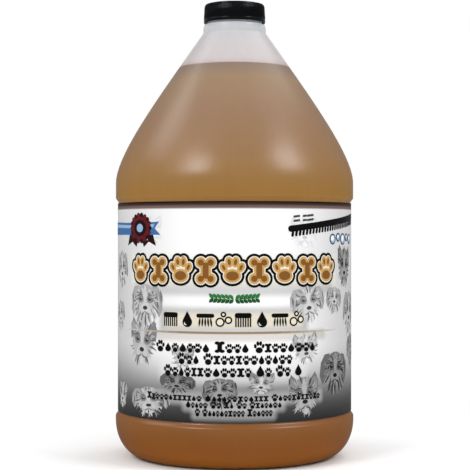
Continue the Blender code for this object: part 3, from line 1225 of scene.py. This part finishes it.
def brush(art, across, up):
    art.draw(block(across, up + 2.4, 11, 2.4, 1.1), BLACK)
    for k in range(5):
        start = (across - 3.2 + 1.6 * k, up + 1.6)
        art.draw(stroke(start, (start[0] + (k - 2) * 0.35, up - 4.4), 1.2), BLACK)


def bubbles(art, across, up):
    for a, b, size in ((-2.4, -1.4, 5.6), (2.6, -0.2, 4.6), (-0.4, 3.2, 3.4)):
        art.draw(oval(across + a, up + b, size, size), BLACK)
        art.draw(oval(across + a, up + b, size - 1.9, size - 1.9), CREAM, 1)


grooming = Artwork("grooming_row")
row_left, row_right = SUBTITLE[0]
row_middle = sum(SUBTITLE[1]) / 2
pictures = (comb, drop, brush, bubbles) * 2
for i, picture in enumerate(pictures):
    picture(grooming, row_left + (row_right - row_left) * (i + 0.5) / len(pictures), row_middle)
grooming.roll()

rule = Artwork("tan_rule")
RULE_LEFT, RULE_LENGTH, RULE_HEIGHT = -80, 153, 83.5
RULE_PARTS = 24
RULE_FADE, RULE_THIN, RULE_SWELL = 3.2, 0.7, 0.6
FILM_TONE, RULE_TONE = 209, (158, 136, 106)
for i in range(RULE_PARTS):
    share = (i + 0.5) / RULE_PARTS
    strength = min(1.0, RULE_FADE * share, RULE_FADE * (1 - share))
    tone = [FILM_TONE + (value - FILM_TONE) * strength for value in RULE_TONE]
    middle = (RULE_LEFT + RULE_LENGTH * share, RULE_HEIGHT)
    part = block(*middle, RULE_LENGTH / RULE_PARTS, RULE_THIN + RULE_SWELL * strength, 0.05)
    rule.draw(part, ink(*tone))
rule.roll()

# %% [markdown]
# Two emblems fill the upper corners. On the left a dark red rosette, as a show prize, lies over
# a blue ribbon. On the right a long black comb rises, with small bars over it and blue bubbles
# below.

# %% Corner emblems
emblems = Artwork("corner_emblems")
RED, DARK_RED = ink(98, 22, 30), ink(38, 12, 16)
BLUE, PALE_BLUE = ink(60, 108, 165), ink(150, 182, 214)
ROSETTE_R = 7.2
MIDDLE, HEIGHT = -66, 146.0
for side, reach in ((-1, 49), (1, 17)):
    tail = [(0, 0), (12, -1.0), (15.5, -10.8), (9.4, -8.4), (4.8, -11.6)]
    emblems.draw([(MIDDLE + side * (a - 1), HEIGHT + b) for a, b in tail], DARK_RED, 0)
    end = [(0, 3.6), (reach, 4.4), (reach - 3.5, 0.4), (reach + 1, -3.6), (0, -3.6)]
    emblems.draw([(MIDDLE + side * a, HEIGHT + b - 0.6) for a, b in end], BLUE, 1)
    shine = [(4, 1.6), (reach - 3.5, 2.5), (reach - 4.6, 0.4), (4, -0.2)]
    emblems.draw([(MIDDLE + side * a, HEIGHT + b) for a, b in shine], PALE_BLUE, 2)
PLEATS = 18
for k in range(PLEATS):
    around = 360 * k / PLEATS
    [(a, b)] = placed([(ROSETTE_R, 0)], 0, 0, around)
    pleat = oval(MIDDLE + 1.2 * a, HEIGHT + b, 4.6, 3.4, around)
    emblems.draw(pleat, (DARK_RED, RED)[k % 2], 3)
RINGS = [(17.0, 14.0, RED), (12.4, 10.2, DARK_RED), (6.4, 5.2, PALE_BLUE)]
for layer, (ring_w, ring_h, colour) in enumerate(RINGS, 4):
    emblems.draw(oval(MIDDLE, HEIGHT, ring_w, ring_h), colour, layer)

RISE = 6.5
TEETH, TOOTH_STEP = 27, 2.6
COMB_LEFT, COMB_FOOT = 35, 142.0
climb = math.tan(math.radians(RISE))
for k in range(TEETH):
    along = 1.4 + TOOTH_STEP * k
    tooth = block(COMB_LEFT + along, COMB_FOOT + 0.9 + climb * along, 1.7, 5.0, 0.7, -9)
    emblems.draw(tooth, BLACK, 0)
spine = block(COMB_LEFT + 35, COMB_FOOT + 3.6 + climb * 34, 74, 3.8, 1.7, RISE)
emblems.draw(spine, BLACK, 1)
for row in range(2):
    for k, width in enumerate((4.6, 3.0, 5.2)):
        bar = block(41 + 5.2 * k - 0.4 * width, 153.0 - 2.6 * row + 0.3 * k, width, 1.3, 0.4, RISE)
        emblems.draw(bar, grey(70), 0)
for k, size in enumerate((6.6, 5.4, 7.2, 5.0, 6.4)):
    across, up = 70 + 6.6 * k, 139.2 + 1.1 * (k % 2)
    emblems.draw(oval(across, up, size, size), ink(30, 52, 84), 2)
    emblems.draw(oval(across, up, size - 1.5, size - 1.5), PALE_BLUE, 3)
    emblems.draw(oval(across - 0.5, up + 0.5, size - 3.2, size - 3.2), grey(250), 4)
emblems.roll()

# %% [markdown]
# All over the film, under everything else, are soft pencil heads of dogs and cats of no breed
# in particular. One helper draws them from ovals and pencil strokes. It is told the size, the
# kind of ears and the tone, so the heads near the top are pale, and some near the foot are
# lighter than the film round them.

# %% Pet heads
EARS = {
    "prick": [(0.26, 0.40), (0.42, 0.76), (0.64, 1.00), (0.80, 0.60), (0.76, 0.10)],
    "cat": [(0.16, 0.52), (0.46, 0.78), (0.80, 0.98), (0.86, 0.50), (0.78, 0.16)],
    "drop": [(0.46, 0.74), (0.76, 0.72), (0.98, 0.36), (1.00, -0.10), (0.84, -0.48)]
    + [(0.68, -0.26), (0.60, 0.16)],
    "shaggy": [(0.42, 0.76), (0.74, 0.70), (0.94, 0.30), (0.98, -0.30), (0.80, -0.72)]
    + [(0.62, -0.40), (0.56, 0.12)],
}
FUR_STROKES = {"prick": 30, "cat": 24, "drop": 34, "shaggy": 64}
DROOP = {"prick": 0.0, "cat": 0.0, "drop": 0.12, "shaggy": 0.36}
TONE_LIMITS = (18, 250)
FILM_LIGHT = 225


def unit_oval(u, v, width, height):
    return oval(u, v, width, height, 0.0, 18)


def pet_head(art, across, up, width, height, kind, tone, lean=0.0):
    """A head in soft tones; u and v run from -1 to 1 over its width and height."""

    def fill(points, shade, layer):
        shade = max(TONE_LIMITS[0], min(TONE_LIMITS[1], shade))
        sized = [(u * width / 2, v * height / 2) for u, v in points]
        art.draw(placed(sized, across, up, lean), grey(shade), layer)

    contrast = 1.0 if tone < FILM_LIGHT else 0.25
    dark, deep = tone - 36 * contrast, tone - 76 * contrast
    light, pale = tone + 16 * contrast, tone + 32 * contrast
    hangs = DROOP[kind] > 0
    for side in (-1, 1):
        fill([(side * u, v) for u, v in EARS[kind]], tone - 14 * contrast if hangs else dark, 0)
        inside = [(side * (0.82 * u + 0.10), 0.72 * v + 0.12) for u, v in EARS[kind]]
        fill(inside, tone - 6 * contrast, 0)
        for k in range(6 if hangs else 3):
            top = (side * (0.62 + 0.06 * k), chance.uniform(0.1, 0.6))
            foot = (top[0] + side * 0.06, top[1] - 0.6 if hangs else top[1] + 0.3)
            fill(stroke(top, foot, 0.07, 0.03), (dark, deep, light)[k % 3], 0)
    fill(unit_oval(0, 0.16, 1.34, 1.36), tone, 0)
    fill(unit_oval(0, -0.16, 1.12, 1.24), light, 1)
    for side in (-1, 1):
        fill(unit_oval(side * 0.30, 0.14, 0.42, 0.40), dark, 1)
    fill(unit_oval(0, -0.42, 0.66, 0.74), pale, 1)
    fill(stroke((0, 0.84), (0, -0.16), 0.26), pale, 1)
    for k in range(FUR_STROKES[kind]):
        around = math.tau * (k + chance.uniform(-0.4, 0.4)) / FUR_STROKES[kind]
        inner, outer = chance.uniform(0.42, 0.66), chance.uniform(0.84, 1.04)
        droop = DROOP[kind] * chance.uniform(0.4, 1.1)
        start = (0.86 * inner * math.cos(around), inner * math.sin(around))
        end = (0.84 * outer * math.cos(around), outer * math.sin(around) - droop)
        hair = stroke(start, end, chance.uniform(0.05, 0.11), chance.uniform(-0.08, 0.08))
        fill(hair, (dark, deep, light, pale)[k % 4], 2)
    for side in (-1, 1):
        fill(stroke((side * 0.12, 0.32), (side * 0.48, 0.26), 0.07, side * 0.05), deep, 2)
        fill(unit_oval(side * 0.28, 0.13, 0.19, 0.15), deep - 40 * contrast, 3)
        fill(unit_oval(side * 0.28 + 0.03, 0.17, 0.06, 0.05), pale, 3)
        fill(stroke((0, -0.42), (side * 0.30, -0.60), 0.06, side * -0.05), deep, 3)
        if kind == "cat":
            for rise in (-0.10, 0.04):
                fill(stroke((side * 0.14, -0.36), (side * 0.92, -0.36 + rise), 0.04), deep, 3)
    fill(unit_oval(0, -0.28, 0.28, 0.19), deep - 40 * contrast, 3)
    if kind == "prick":
        fill(unit_oval(0.02, -0.72, 0.22, 0.28), pale + 10, 3)


# %% [markdown]
# The heads are a list: across, up, width and height, then the ears, the tone and the lean. The
# ones in the middle of the lower part are drawn again on the back of the label.

# %% Places of the heads
HEADS = [
    (-91, 121, 20, 25, "drop", 178, 4),
    (-61, 101, 30, 26, "shaggy", 176, 0),
    (86, 122, 25, 27, "prick", 132, -3),
    (48, 101, 27, 24, "drop", 184, 6),
    (72, 103, 18, 16, "shaggy", 176, -6),
    (96, 94, 24, 30, "drop", 168, -8),
    (-95, 92, 18, 20, "drop", 178, 8),
    (-64, 76, 32, 30, "prick", 168, -4),
    (46, 73, 24, 20, "prick", 196, 5),
    (-32, 68, 18, 16, "cat", 196, 0),
    (73, 59, 32, 26, "shaggy", 120, -3),
    (101, 70, 20, 22, "drop", 142, 0),
    (-36, 53, 25, 13, "drop", 112, -4),
    (-9, 49, 22, 18, "shaggy", 132, 3),
    (16, 53, 19, 15, "cat", 176, -5),
    (45, 45, 28, 27, "prick", 150, 4),
    (-90, 42, 20, 19, "prick", 168, -6),
    (-58, 41, 34, 20, "drop", 172, 3),
    (-58, 144, 26, 20, "cat", 236, 0),
    (45, 143, 26, 20, "prick", 236, 0),
]
BACK = math.pi * LABEL_R / MM
REPEATED_WITHIN, REPEATED_BELOW, SPREAD = 60, 60, 1.4
heads = Artwork("pet_heads", over=0)
for across, up, *shape in HEADS:
    pet_head(heads, across, up, *shape)
    if abs(across) < REPEATED_WITHIN and up < REPEATED_BELOW:
        pet_head(heads, BACK - SPREAD * across, up, *shape)
heads.roll()

# %% [markdown]
# The back of such a label carries directions and contents in fine print. Here too there are no
# words: each one is a small bar, and a heavier bar heads each paragraph. The upright bars in one
# corner stand for the block that a till reads, and carry no number.

# %% Fine print
fine_print = Artwork("fine_print")
PAGES = [(-224, (6, 3)), (-172, (6, 4, 5)), (126, (5, 6, 4)), (178, (4, 6, 4))]
PAGE_WIDTH = 46
PAGE_TOP = 138.0
LINE_STEP = 4.2
PARAGRAPH_STEP = 6.2
WORD_GAP = 1.3
SHORTEST = 2


def text_line(left, end, up):
    """A line of small bars, as words, from its left end."""
    while left < end - SHORTEST:
        word = min(chance.uniform(2.4, 8.0), end - left)
        fine_print.draw(block(left + word / 2, up, word, 1.4, 0.4), grey(58))
        left += word + WORD_GAP


for left, paragraphs in PAGES:
    up = PAGE_TOP
    for lines in paragraphs:
        heading = chance.uniform(0.4, 0.6) * PAGE_WIDTH
        fine_print.draw(block(left + heading / 2, up, heading, 2.5, 0.6), BLACK)
        for k in range(lines):
            up -= LINE_STEP
            text_line(left, left + (1.0 if k < lines - 1 else 0.6) * PAGE_WIDTH, up)
        up -= PARAGRAPH_STEP

BARS_LEFT, BARS_RIGHT, BARS_UP = -221.0, -186, 76
fine_print.draw(block(-203, BARS_UP, 42, 24, 1), grey(252))
across = BARS_LEFT
while across < BARS_RIGHT:
    bar = chance.choice((0.5, 0.9, 1.4))
    fine_print.draw(block(across + bar / 2, BARS_UP, bar, 19, 0.1), BLACK, 1)
    across += bar + chance.choice((0.6, 0.9, 1.3))
fine_print.roll()
